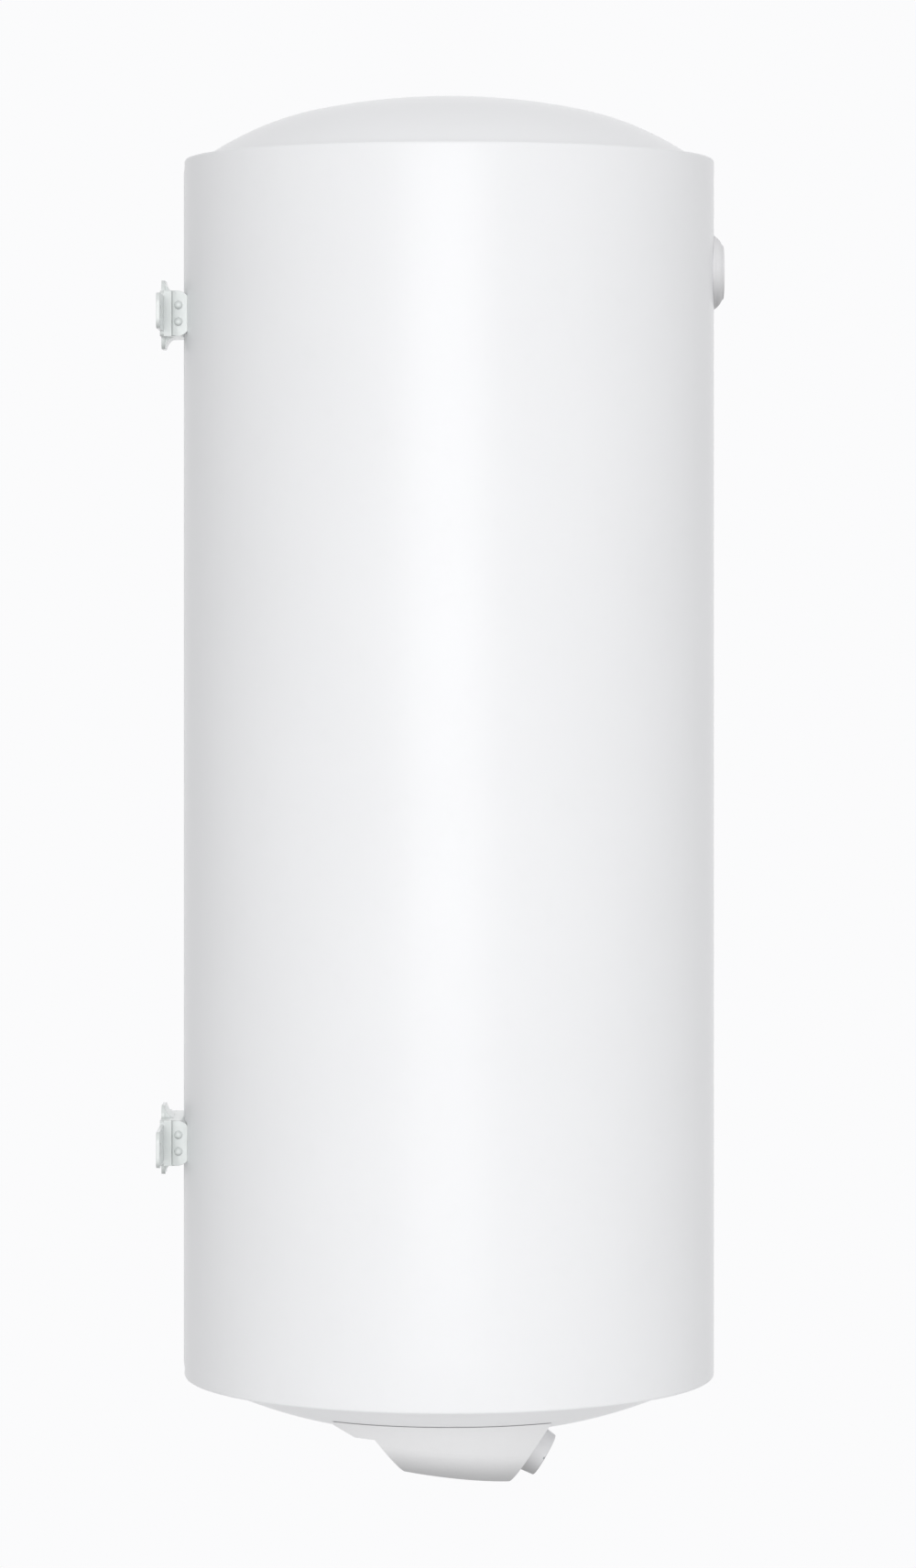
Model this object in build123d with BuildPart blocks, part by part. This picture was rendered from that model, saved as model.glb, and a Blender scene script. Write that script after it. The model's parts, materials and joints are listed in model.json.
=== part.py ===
"""Wall-hung vertical storage water heater, modelled in millimetres.

Frame: the wall is the plane Y = 0 and the heater hangs in front of it, towards -Y.  +Z is up.
The origin is midway between the two holes of the upper wall plate, on the wall.
"""
import os
from math import atan2, cos, hypot, radians, sin, sqrt, tan

from build123d import *

os.makedirs("parts", exist_ok=True)

# ---------------------------------------------------------------- driving dimensions
casing_r = 225.0            # outside radius of the casing
casing_height = 1033.0      # between the two rolled rims
wall_gap = 19.0             # wall to the nearest point of the casing
rim_above_holes = 132.0     # upper rim above the upper wall holes
hole_rows = 700.0           # upper wall holes to lower wall holes
sheet = 0.8                 # casing and cap sheet
rim_r = 3.0                 # rolled radius of the casing rims
rim_lip = 8.0               # flat lip turned in over each cap
cap_dome_r = 211.0          # radius where a cap's dome starts
top_rise = 53.0             # upper cap's crown beyond the rim
bottom_rise = 45.0          # lower cap's crown beyond the rim
crown_zone_r = 120.0        # the flatter middle of a cap
crown_drop = 13.0           # how far the dome falls across that middle

tank_r = 195.0
tank_wall = 2.0
tank_top_z = 100.0
tank_bottom_z = -850.0
tank_dish = 46.0

pipe_r = 10.48              # G 1/2 thread, major diameter 20.96
pipe_bore_r = 7.5
pipe_x = 50.0
pipe_y = 30.0               # behind the heater's axis

flange_y = -26.0            # in front of the heater's axis
flange_r = 42.0
opening_front = -70.0       # front edge of the lower cap's opening, under the cover's face
stud_circle_r = 34.0
stud_r = 4.0
stud_count = 6

cover_r = 161.0             # round edge of the service cover on the lower cap
cover_wall = 2.5
cover_fit = 0.05            # between the cover's edge and the lower cap
bay_half = 76.0             # half the width of the pipe bay between the cover's cheeks
bay_front = 15.0            # bay's front wall, behind the heater's axis
knob_r = 21.6
knob_height = 20.0
knob_gap = 1.2              # between the knob and the cover

gauge_z = 36.5              # thermometer centre
gauge_base_r = 32.7
gauge_face_r = 22.5
gauge_proud = 8.3

plate_half = 105.0          # half a wall plate's width, to the ends of its two wings
wing_height = 30.0
flare_half = 20.0           # half the width of a wall plate's flared lips
plate_height = 58.5
plate_sheet = 3.0
wall_hole_r = 5.5
wall_hole_x = 90.0
bracket_half = 43.0
bracket_height = 38.5
bracket_back = -10.0        # where the bracket meets the flared part of the wall plate
bracket_front = -26.0
bracket_sheet = 3.0

# ---------------------------------------------------------------- derived places
axis_y = -(wall_gap + casing_r)
rim_top_z = rim_above_holes
rim_bottom_z = rim_top_z - casing_height
lower_holes_z = -hole_rows
heater_axis = Axis((0, axis_y, 0), (0, 0, 1))
axis_plane = Plane(origin=(0, axis_y, 0), x_dir=(1, 0, 0), z_dir=(0, -1, 0))


def save(builder, label):
    """Label a finished piece and write it out."""
    builder.part.label = label
    export_step(builder.part, f"parts/{label}.step")


def level(z, x=0.0, y=axis_y):
    """A horizontal plane at a height, its origin on the heater's axis unless placed elsewhere."""
    return Plane(origin=(x, y, z), x_dir=(1, 0, 0), z_dir=(0, 0, 1))


def half_dish(radius, dome_r, rise, z, up, rim=0.0):
    """Closed half profile of a dished end: a flat brim, a dome and its axis.  up is 1 or -1."""
    crown_r = (crown_zone_r**2 + crown_drop**2) / (2 * crown_drop)
    tangent = (crown_zone_r / crown_r, -up * sqrt(1 - (crown_zone_r / crown_r) ** 2))
    apex = (0, z + up * rise)
    shoulder = (crown_zone_r, z + up * (rise - crown_drop))
    mid_r = crown_zone_r / 2
    mid = (mid_r, z + up * (rise - crown_r + sqrt(crown_r**2 - mid_r**2)))
    with BuildLine() as outline:
        ThreePointArc(apex, mid, shoulder)
        edge = TangentArc(shoulder, (dome_r, z), tangent=(tangent[1] * -up, -up * tangent[0]))
        Line(edge @ 1, (radius, z))
        Line((radius, z), (radius, z - up * rim))
        Line((radius, z - up * rim), (0, z - up * rim))
        Line((0, z - up * rim), apex)
    return outline


# ---------------------------------------------------------------- casing and caps
foot_x = bracket_half - bracket_sheet
foot_sheet = 4.0
foot_height = 30.0


def casing_outline(inset):
    """Half profile of the casing as a filled drum, shrunk by inset."""
    r = casing_r - inset
    top = rim_top_z - inset
    bottom = rim_bottom_z + inset
    with BuildLine() as outline:
        FilletPolyline(
            (0, bottom), (r, bottom), (r, top), (0, top),
            radius=rim_r - inset,
        )
        Line((0, top), (0, bottom))
    return outline


def make_casing():
    """Rolled casing with a lip turned in over each cap, a gauge hole and four bracket slots."""
    mouth_r = casing_r - rim_r - rim_lip
    with BuildPart() as outer_casing:
        with BuildSketch(axis_plane):
            add(casing_outline(0))
            make_face()
        revolve(axis=heater_axis)
        with BuildSketch(axis_plane):
            add(casing_outline(sheet))
            make_face()
        revolve(axis=heater_axis, mode=Mode.SUBTRACT)
        with BuildSketch(level(rim_bottom_z - 1)):
            Circle(mouth_r)
        extrude(amount=casing_height + 2, mode=Mode.SUBTRACT)
        with BuildSketch(Plane(origin=(0, axis_y, gauge_z), x_dir=(1, 0, 0), z_dir=(0, -1, 0))):
            Circle(gauge_case_r + 0.3)
        extrude(amount=casing_r + 5, mode=Mode.SUBTRACT)
        for z in (0, lower_holes_z):
            with BuildSketch(Plane(origin=(0, axis_y, z), x_dir=(1, 0, 0), z_dir=(0, 1, 0))):
                with Locations((foot_x - foot_sheet / 2, 0), (foot_sheet / 2 - foot_x, 0)):
                    Rectangle(foot_sheet + 0.6, foot_height + 0.6)
            extrude(amount=casing_r + 5, mode=Mode.SUBTRACT)
    save(outer_casing, "outer_casing")


def cap_solid(rim_z, up, inset, brim_r):
    """The filled dish that a cap is pressed to, shrunk by inset."""
    rise = top_rise if up > 0 else bottom_rise
    with BuildPart() as dish:
        with BuildSketch(axis_plane):
            z = rim_z - up * (sheet + inset)
            add(half_dish(brim_r, cap_dome_r - inset * 0.5, rise + sheet, z, up, 3.0))
            make_face()
        revolve(axis=heater_axis)
    return dish.part


cap_brim_r = casing_r - sheet - rim_r


def make_caps():
    """Pressed end caps; the lower one is open for the flange, the thermostat and the pipes."""
    with BuildPart() as top_cap:
        add(cap_solid(rim_top_z, 1, 0, cap_brim_r))
        add(cap_solid(rim_top_z, 1, sheet, cap_brim_r + 1), mode=Mode.SUBTRACT)
        with BuildSketch(level(rim_top_z - sheet * 2)):
            Circle(cap_brim_r + 2)
        extrude(amount=-4, mode=Mode.SUBTRACT)
    save(top_cap, "top_cap")

    with BuildPart() as bottom_cap:
        add(cap_solid(rim_bottom_z, -1, 0, cap_brim_r))
        add(cap_solid(rim_bottom_z, -1, sheet, cap_brim_r + 1), mode=Mode.SUBTRACT)
        with BuildSketch(level(rim_bottom_z + sheet * 2)):
            Circle(cap_brim_r + 2)
        extrude(amount=4, mode=Mode.SUBTRACT)
        with BuildSketch(level(rim_bottom_z)):
            service_opening()
            with Locations((-pipe_x, pipe_y), (pipe_x, pipe_y)):
                Circle(pipe_r + 0.6)
            with Locations((-screw_x, screw_y), (screw_x, screw_y)):
                Circle(screw_shank_r)
        extrude(amount=-bottom_rise - 5, mode=Mode.SUBTRACT)
    save(bottom_cap, "bottom_cap")


def service_opening():
    """Plan shape of the opening for the flange and the thermostat, drawn about the heater axis."""
    with Locations((0, flange_y)):
        Circle(flange_r + 4)
    with Locations((0, (flange_y + opening_front) / 2)):
        Rectangle(2 * flange_r, flange_y - opening_front)


# ---------------------------------------------------------------- tank
def tank_end_outline(z, up, inset):
    """Half profile of a dished tank end, filled, shrunk by inset."""
    r = tank_r - inset
    crown = tank_dish - inset
    crown_r = (r**2 * 0.72 + (crown * 0.72) ** 2) / (2 * crown * 0.72)
    with BuildLine() as outline:
        arc = ThreePointArc(
            (0, z + up * crown),
            (r * 0.45, z + up * (crown - crown_r + sqrt(crown_r**2 - (r * 0.45) ** 2))),
            (r * 0.82, z + up * (crown - crown_r + sqrt(crown_r**2 - (r * 0.82) ** 2))),
        )
        TangentArc(arc @ 1, (r, z), tangent=arc % 1)
        Line((r, z), (0, z))
        Line((0, z), (0, z + up * crown))
    return outline


def tank_end(z, up, inset):
    """A filled dished end."""
    with BuildPart() as end:
        with BuildSketch(axis_plane):
            add(tank_end_outline(z, up, inset))
            make_face()
        revolve(axis=heater_axis)
    return end.part


def make_tank():
    """Enamelled steel tank: a rolled shell and two dished ends."""
    with BuildPart() as tank_shell:
        with BuildSketch(level(tank_bottom_z)):
            Circle(tank_r)
            Circle(tank_r - tank_wall, mode=Mode.SUBTRACT)
        extrude(amount=tank_top_z - tank_bottom_z)
    save(tank_shell, "tank_shell")

    with BuildPart() as tank_top_end:
        add(tank_end(tank_top_z, 1, 0))
        add(tank_end(tank_top_z, 1, tank_wall), mode=Mode.SUBTRACT)
    save(tank_top_end, "tank_top_end")

    with BuildPart() as tank_bottom_end:
        add(tank_end(tank_bottom_z, -1, 0))
        add(tank_end(tank_bottom_z, -1, tank_wall), mode=Mode.SUBTRACT)
        with BuildSketch(level(tank_bottom_z)):
            with Locations((0, flange_y)):
                Circle(flange_r)
            with Locations((-pipe_x, pipe_y), (pipe_x, pipe_y)):
                Circle(pipe_r)
        extrude(amount=-tank_dish - 5, mode=Mode.SUBTRACT)
    save(tank_bottom_end, "tank_bottom_end")


# ---------------------------------------------------------------- foam
gauge_case_r = 20.0
gauge_case_back = casing_r - 9.0     # how far the gauge's case reaches in, from the heater axis


def make_foam():
    """Foamed-in insulation between the tank and the casing, with a recess for each piece in it."""
    gap = 0.4
    with BuildPart() as foam_insulation:
        with BuildSketch(axis_plane):
            add(casing_outline(sheet * 2 + gap))
            make_face()
        revolve(axis=heater_axis)
        with BuildSketch(level(tank_bottom_z)):
            Circle(tank_r)
        extrude(amount=tank_top_z - tank_bottom_z, mode=Mode.SUBTRACT)
        add(tank_end(tank_top_z, 1, 0), mode=Mode.SUBTRACT)
        add(tank_end(tank_bottom_z, -1, 0), mode=Mode.SUBTRACT)
        with BuildSketch(level(tank_bottom_z - tank_dish / 2)):
            service_opening()
            with Locations((-pipe_x, pipe_y), (pipe_x, pipe_y)):
                Circle(pipe_r)
        extrude(amount=-casing_height, mode=Mode.SUBTRACT)
        with BuildSketch(level(rim_bottom_z - bottom_rise)):
            with Locations((-screw_x, screw_y), (screw_x, screw_y)):
                Circle(screw_shank_r + 1)
        extrude(amount=bottom_rise, mode=Mode.SUBTRACT)
        with BuildSketch(Plane(origin=(0, axis_y, gauge_z), x_dir=(1, 0, 0), z_dir=(0, -1, 0))):
            Circle(gauge_case_r + gap)
        extrude(amount=casing_r, mode=Mode.SUBTRACT)
        for z in (0, lower_holes_z):
            with BuildSketch(Plane(origin=(0, axis_y, z), x_dir=(1, 0, 0), z_dir=(0, 1, 0))):
                with Locations((foot_x - foot_sheet / 2, 0), (foot_sheet / 2 - foot_x, 0)):
                    Rectangle(foot_sheet, foot_height)
            extrude(amount=casing_r, mode=Mode.SUBTRACT)
    save(foam_insulation, "foam_insulation")


# ---------------------------------------------------------------- wall brackets
def flare_section():
    """Upright section of the flared part of a wall plate, on the YZ plane."""
    half = bracket_height / 2
    lip = plate_height / 2 - 1.5
    with BuildLine() as outline:
        up = ThreePointArc(
            (bracket_back, half),
            (bracket_back * 0.62 - 0.9, half + (lip - half) * 0.2),
            (-plate_sheet, lip),
        )
        Line(up @ 1, (-plate_sheet, -lip))
        down = ThreePointArc(
            (-plate_sheet, -lip),
            (bracket_back * 0.62 - 0.9, -half - (lip - half) * 0.2),
            (bracket_back, -half),
        )
        Line(down @ 1, (bracket_back, half))
    return outline


def make_brackets(level_name, z):
    """One bracket: wall plate, tank bracket, two feet on the tank and four rivets."""
    side_plane = Plane(origin=(0, 0, z), x_dir=(0, 1, 0), z_dir=(1, 0, 0))
    wall_plane = Plane(origin=(0, 0, z), x_dir=(1, 0, 0), z_dir=(0, -1, 0))
    with BuildPart() as wall_plate:
        with BuildSketch(wall_plane):
            RectangleRounded(2 * plate_half, wing_height, 8)
            RectangleRounded(2 * bracket_half, bracket_height, 3)
        extrude(amount=plate_sheet)
        with BuildSketch(wall_plane):
            RectangleRounded(2 * flare_half, plate_height, 8)
        extrude(amount=plate_sheet)
        with BuildSketch(wall_plane.offset(plate_sheet)):
            Rectangle(2 * bracket_half, bracket_height)
        extrude(amount=-bracket_back - plate_sheet)
        with BuildSketch(side_plane):
            add(flare_section())
            make_face()
        extrude(amount=flare_half - 1, both=True)
        with BuildSketch(wall_plane.offset(plate_sheet)):
            Rectangle(2 * bracket_half - 2 * bracket_sheet, bracket_height - 2 * bracket_sheet)
        extrude(amount=20, mode=Mode.SUBTRACT)
        with BuildSketch(wall_plane):
            with Locations((-wall_hole_x, 0), (wall_hole_x, 0)):
                Circle(wall_hole_r)
        extrude(amount=plate_sheet, mode=Mode.SUBTRACT)
    save(wall_plate, f"{level_name}_wall_plate")

    body_depth = bracket_back - bracket_front
    with BuildPart() as tank_bracket:
        with BuildSketch(wall_plane.offset(-bracket_back)):
            Rectangle(2 * bracket_half, bracket_height)
        extrude(amount=body_depth)
        fillet(tank_bracket.edges().filter_by(Axis.X).group_by(Axis.Y)[0], 7)
        fillet(tank_bracket.edges().filter_by(Axis.Z).group_by(Axis.Y)[0], 2)
        with BuildSketch(wall_plane.offset(-bracket_back + bracket_sheet)):
            Rectangle(2 * foot_x, bracket_height - 2 * bracket_sheet)
        extrude(amount=body_depth, mode=Mode.SUBTRACT)
        with BuildSketch(level(z - 40)):
            Circle(casing_r)
        extrude(amount=80, mode=Mode.SUBTRACT)
        with BuildSketch(side_plane):
            with Locations((rivet_y, rivet_z), (rivet_y, -rivet_z)):
                Circle(rivet_shank_r)
        extrude(amount=bracket_half, both=True, mode=Mode.SUBTRACT)
    save(tank_bracket, f"{level_name}_tank_bracket")

    foot_back = bracket_back - bracket_sheet
    with BuildPart() as bracket_feet:
        for side in (-1, 1):
            with BuildSketch(level(z - foot_height / 2, x=side * (foot_x - foot_sheet / 2), y=0)):
                with Locations((0, (foot_back + axis_y) / 2)):
                    Rectangle(foot_sheet, foot_back - axis_y)
            extrude(amount=foot_height)
        with BuildSketch(level(z - 40)):
            Circle(tank_r)
        extrude(amount=80, mode=Mode.SUBTRACT)
        with BuildSketch(side_plane):
            with Locations((rivet_y, rivet_z), (rivet_y, -rivet_z)):
                Circle(rivet_shank_r)
        extrude(amount=bracket_half, both=True, mode=Mode.SUBTRACT)
    save(bracket_feet, f"{level_name}_bracket_feet")

    with BuildPart() as bracket_rivets:
        for side in (-1, 1):
            for dz in (-rivet_z, rivet_z):
                face = Plane(
                    origin=(side * bracket_half, rivet_y, z + dz),
                    x_dir=(0, side, 0),
                    z_dir=(side, 0, 0),
                )
                with BuildSketch(face):
                    Circle(rivet_shank_r)
                extrude(amount=-(bracket_sheet + foot_sheet))
                with BuildSketch(Plane(origin=face.origin, x_dir=(0, 0, 1), z_dir=(0, -1, 0))):
                    with BuildLine():
                        Line((0, 0), (0, -side * rivet_head_height))
                        ThreePointArc(
                            (0, -side * rivet_head_height),
                            (rivet_head_r * 0.72, -side * rivet_head_height * 0.74),
                            (rivet_head_r, 0),
                        )
                        Line((rivet_head_r, 0), (0, 0))
                    make_face()
                revolve(axis=Axis(face.origin, (side, 0, 0)))
    save(bracket_rivets, f"{level_name}_bracket_rivets")


rivet_y = -15.5
rivet_z = 7.0
rivet_shank_r = 2.0
rivet_head_r = 3.6
rivet_head_height = 2.4

# ---------------------------------------------------------------- flange, element and anode
ring_top_z = tank_bottom_z - 33
ring_bottom_z = tank_bottom_z - 63
gasket_z = ring_bottom_z - 3
plate_z = gasket_z - 6
nut_z = plate_z - 6.5
leg_x = 12.0
leg_y = flange_y - 10
leg_r = 4.25
element_top_z = tank_bottom_z + 265
well_x = 18.0
well_y = flange_y + 4
well_r = 4.5
well_top_z = tank_bottom_z + 230
anode_y = flange_y + 12
anode_r = 11.0


def stud_spots():
    """Places of the flange studs, about the heater axis."""
    turn = 360 / stud_count
    angles = [radians(turn * i + turn / 2) for i in range(stud_count)]
    return [(stud_circle_r * cos(a), flange_y + stud_circle_r * sin(a)) for a in angles]


def make_flange():
    """Welded ring, studs, gasket, plate and nuts that close the tank's service opening."""
    with BuildPart() as flange_ring:
        with BuildSketch(level(ring_bottom_z)):
            with Locations((0, flange_y)):
                Circle(flange_r)
                Circle(27, mode=Mode.SUBTRACT)
            with Locations(*stud_spots()):
                Circle(stud_r, mode=Mode.SUBTRACT)
        extrude(amount=ring_top_z - ring_bottom_z)
    save(flange_ring, "flange_ring")

    with BuildPart() as flange_studs:
        with BuildSketch(level(nut_z - 4)):
            with Locations(*stud_spots()):
                Circle(stud_r)
        extrude(amount=ring_top_z - nut_z + 4)
        chamfer(flange_studs.edges().filter_by(GeomType.CIRCLE).group_by(Axis.Z)[0], 0.8)
    save(flange_studs, "flange_studs")

    with BuildPart() as flange_gasket:
        with BuildSketch(level(gasket_z)):
            with Locations((0, flange_y)):
                Circle(flange_r - 1)
                Circle(26, mode=Mode.SUBTRACT)
            with Locations(*stud_spots()):
                Circle(stud_r + 0.3, mode=Mode.SUBTRACT)
        extrude(amount=ring_bottom_z - gasket_z)
    save(flange_gasket, "flange_gasket")

    with BuildPart() as flange_plate:
        with BuildSketch(level(plate_z)):
            with Locations((0, flange_y)):
                Circle(flange_r)
            with Locations(*stud_spots()):
                Circle(stud_r + 0.4, mode=Mode.SUBTRACT)
            with Locations((-leg_x, leg_y), (leg_x, leg_y)):
                Circle(leg_r, mode=Mode.SUBTRACT)
            with Locations((well_x, well_y)):
                Circle(well_r, mode=Mode.SUBTRACT)
            with Locations((0, anode_y)):
                Circle(stud_r, mode=Mode.SUBTRACT)
            with Locations((-well_x, well_y)):
                Circle(2.5, mode=Mode.SUBTRACT)
        extrude(amount=gasket_z - plate_z)
        fillet(flange_plate.faces().sort_by(Axis.Z)[0].outer_wire().edges(), 1)
    save(flange_plate, "flange_plate")

    with BuildPart() as flange_nuts:
        with BuildSketch(level(nut_z)):
            with Locations(*stud_spots()):
                RegularPolygon(6.5, 6, major_radius=False)
                Circle(stud_r, mode=Mode.SUBTRACT)
        extrude(amount=plate_z - nut_z)
    save(flange_nuts, "flange_nuts")


def make_element():
    """Hairpin heating element with its two terminals, the thermowell and the anode."""
    with BuildPart() as heating_element:
        with BuildLine():
            leg = Line((leg_x, axis_y + leg_y, plate_z - 8), (leg_x, axis_y + leg_y, element_top_z))
            bend = ThreePointArc(
                leg @ 1,
                (0, axis_y + leg_y, element_top_z + leg_x),
                (-leg_x, axis_y + leg_y, element_top_z),
            )
            Line(bend @ 1, (-leg_x, axis_y + leg_y, plate_z - 8))
        with BuildSketch(level(plate_z - 8)):
            with Locations((leg_x, leg_y)):
                Circle(leg_r)
        sweep()
    save(heating_element, "heating_element")

    with BuildPart() as element_terminals:
        with BuildSketch(level(plate_z - 8)):
            with Locations((-leg_x, leg_y), (leg_x, leg_y)):
                Rectangle(6.3, 0.8)
        extrude(amount=-8)
    save(element_terminals, "element_terminals")

    with BuildPart() as thermowell:
        with BuildSketch(level(plate_z - 2)):
            with Locations((well_x, well_y)):
                Circle(well_r)
        extrude(amount=well_top_z - plate_z + 2)
        fillet(thermowell.edges().group_by(Axis.Z)[-1], 2)
        with BuildSketch(level(plate_z - 2)):
            with Locations((well_x, well_y)):
                Circle(well_r - 1)
        extrude(amount=well_top_z - plate_z - 2, mode=Mode.SUBTRACT)
    save(thermowell, "thermowell")

    with BuildPart() as anode_rod:
        with BuildSketch(level(gasket_z + 6)):
            with Locations((0, anode_y)):
                Circle(anode_r)
                Circle(stud_r, mode=Mode.SUBTRACT)
        extrude(amount=330)
        with BuildSketch(level(gasket_z + 50)):
            with Locations((0, anode_y)):
                Circle(stud_r)
        extrude(amount=286)
        fillet(anode_rod.edges().group_by(Axis.Z)[-1], 3)
    save(anode_rod, "anode_rod")

    with BuildPart() as anode_stud:
        with BuildSketch(level(plate_z - 9)):
            with Locations((0, anode_y)):
                Circle(stud_r)
        extrude(amount=gasket_z + 50 - plate_z + 9)
        with BuildSketch(level(plate_z - 6)):
            with Locations((0, anode_y)):
                RegularPolygon(6.5, 6, major_radius=False)
        extrude(amount=6)
    save(anode_stud, "anode_stud")

    with BuildPart() as earth_stud:
        with BuildSketch(level(plate_z - 12)):
            with Locations((-well_x, well_y)):
                Circle(2.5)
        extrude(amount=gasket_z - plate_z + 12)
        with BuildSketch(level(plate_z - 4)):
            with Locations((-well_x, well_y)):
                RegularPolygon(4, 6, major_radius=False)
        extrude(amount=4)
    save(earth_stud, "earth_stud")


# ---------------------------------------------------------------- pipes
pipe_end_z = rim_bottom_z - 66.0
collar_top_z = rim_bottom_z - 41.5
collar_height = 6.0
pipe_lead_in = 1.2
thread_length = 15.0        # full thread that takes the fitting
thread_root_r = 9.3         # groove where the thread runs out
thread_runout = 2.0


def make_pipe(label, x, top_z, lining):
    """A threaded pipe through the lower tank end, bored right through."""
    with BuildPart() as pipe:
        with BuildSketch(level(pipe_end_z)):
            with Locations((x, pipe_y)):
                Circle(pipe_r)
                Circle(pipe_bore_r, mode=Mode.SUBTRACT)
        extrude(amount=top_z - pipe_end_z)
        chamfer(pipe.edges().group_by(Axis.Z)[0].sort_by(SortBy.RADIUS)[-1], pipe_lead_in)
        with BuildSketch(level(pipe_end_z + pipe_lead_in + thread_length)):
            with Locations((x, pipe_y)):
                Circle(pipe_r)
                Circle(thread_root_r, mode=Mode.SUBTRACT)
        extrude(amount=thread_runout, mode=Mode.SUBTRACT)
    save(pipe, label)

    with BuildPart() as inner:
        with BuildSketch(level(lining[1])):
            with Locations((x, pipe_y)):
                Circle(pipe_bore_r)
                Circle(pipe_bore_r - 1.5, mode=Mode.SUBTRACT)
        extrude(amount=lining[2] - lining[1])
        if lining[3]:
            with BuildSketch(level(lining[2])):
                with Locations((x, pipe_y)):
                    Circle(22)
            extrude(amount=3)
            with BuildSketch(level(lining[2] - 10)):
                with Locations((x, pipe_y)):
                    Rectangle(60, 7)
            extrude(amount=7, mode=Mode.SUBTRACT)
            with BuildSketch(level(lining[2] - 10)):
                with Locations((x, pipe_y)):
                    Rectangle(7, 60)
            extrude(amount=7, mode=Mode.SUBTRACT)
    save(inner, lining[0])


def make_collar(label, x):
    """Coloured ring that marks a pipe and closes its hole in the lower cap."""
    with BuildPart() as collar:
        with BuildSketch(level(collar_top_z - collar_height)):
            with Locations((x, pipe_y)):
                Circle(14)
        extrude(amount=collar_height + 10)
        fillet(collar.edges().group_by(Axis.Z)[0], 1.5)
        with BuildSketch(level(collar_top_z - collar_height)):
            with Locations((x, pipe_y)):
                Circle(pipe_r)
        extrude(amount=collar_height + 10, mode=Mode.SUBTRACT)
        add(cap_solid(rim_bottom_z, -1, 0, cap_brim_r), mode=Mode.SUBTRACT)
    save(collar, label)


def make_pipes():
    """Cold inlet with its spreader, hot outlet with its draw-off tube, and their collars."""
    inside_z = tank_bottom_z - 20
    make_pipe(
        "cold_inlet_pipe", -pipe_x, inside_z,
        ("inlet_spreader", pipe_end_z + 40, inside_z + 24, True),
    )
    make_pipe(
        "hot_outlet_pipe", pipe_x, inside_z,
        ("hot_draw_off_tube", pipe_end_z + 40, tank_top_z + 15, False),
    )
    make_collar("cold_pipe_collar", -pipe_x)
    make_collar("hot_pipe_collar", pipe_x)


# ---------------------------------------------------------------- service cover
# Upright outline, as (distance behind the heater axis, distance below the lower rim).
foot_rear = (99.0, 10.0)
foot_heel = (96.0, 23.5)
ledge_rear = (78.0, 33.8)
ledge_front = (61.5, 34.6)
heel = (36.0, 69.1)
toe = (-48.6, 82.2)
brow = (-91.1, 10.0)

face_run = (brow[0] - toe[0], toe[1] - brow[1])
face_tilt = atan2(-face_run[0], face_run[1])
knob_out = (0, -cos(face_tilt), -sin(face_tilt))
knob_along = 28.0           # from the toe up the slanted face to the knob's axis
face_length = hypot(*face_run)
knob_foot = (
    0,
    axis_y + toe[0] + face_run[0] * knob_along / face_length,
    rim_bottom_z - toe[1] + face_run[1] * knob_along / face_length,
)
face_plane = Plane(origin=knob_foot, x_dir=(1, 0, 0), z_dir=knob_out)
corner_radii = (
    (foot_heel, 8.0), (ledge_rear, 16.0), (ledge_front, 12.0), (heel, 8.0), (toe, 3.0),
)
cover_rim_depth = 20.6      # below the lower rim, where the bowl meets the cap at cover_r
wall_lean = 40.0            # bowl's wall from the upright, in degrees
bowl_r = 80.0               # large radius between the bowl's wall and its underside


def cover_solid(inset):
    """The filled outer form of the service cover, shrunk by inset: a round bowl cut front and rear."""
    side_plane = Plane(origin=(0, axis_y, rim_bottom_z), x_dir=(0, 1, 0), z_dir=(1, 0, 0))
    lean = tan(radians(wall_lean))
    start_r = cover_r + (cover_rim_depth - foot_rear[1]) * lean - inset / cos(radians(wall_lean))
    slope = (toe[1] - heel[1]) / (toe[0] - heel[0])
    lift = inset * hypot(1, slope)
    half = 2 * cover_r
    with BuildPart() as form:
        with BuildSketch(level(rim_bottom_z - foot_rear[1])):
            Circle(start_r)
        extrude(amount=-cover_r * 0.65, taper=wall_lean)
        with BuildSketch(side_plane):
            with BuildLine():
                ends = [(y, lift - heel[1] - slope * (y - heel[0])) for y in (-half, half)]
                Polyline((-half, 0), ends[0], ends[1], (half, 0), close=True)
            make_face()
        extrude(amount=half, both=True, mode=Mode.INTERSECT)
        fillet(form.faces().sort_by(Axis.Z)[0].edges(), bowl_r - inset)
        with BuildSketch(side_plane) as profile:
            with BuildLine():
                points = [foot_rear, foot_heel, ledge_rear, ledge_front, heel, toe, brow]
                Polyline(*[(y, -below) for y, below in points], close=True)
            make_face()
            for corner, radius in corner_radii:
                height = rim_bottom_z - corner[1]
                fillet(profile.vertices().filter_by(lambda v: abs(v.Z - height) < 0.01), radius)
            if inset:
                offset(amount=-inset, mode=Mode.REPLACE)
        extrude(amount=half, both=True, mode=Mode.INTERSECT)
    return form.part


def bay_solid(grow):
    """The pipe bay between the cover's cheeks, open below and behind, made larger by grow."""
    with BuildPart() as bay:
        with BuildSketch(level(rim_bottom_z - 130)):
            with Locations((0, (bay_front - grow + 140) / 2)):
                Rectangle(2 * (bay_half + grow), 140 - bay_front + grow)
        extrude(amount=140)
    return bay.part


screw_x = 70.0
screw_y = -22.0
screw_head_r = 4.2
screw_shank_r = 2.0
screw_length = 35.0
screw_recess = 3.0          # how deep each screw head sits in its pocket
screw_floor_z = rim_bottom_z - toe[1] + (toe[1] - heel[1]) * (screw_y - toe[0]) / (heel[0] - toe[0])
spindle_r = 3.0
lamp_x = 34.0
lamp_r = 4.0
gland_x = 0.0
gland_z = rim_bottom_z - 58.0
gland_thread_r = 6.0
cable_r = 3.8


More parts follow.
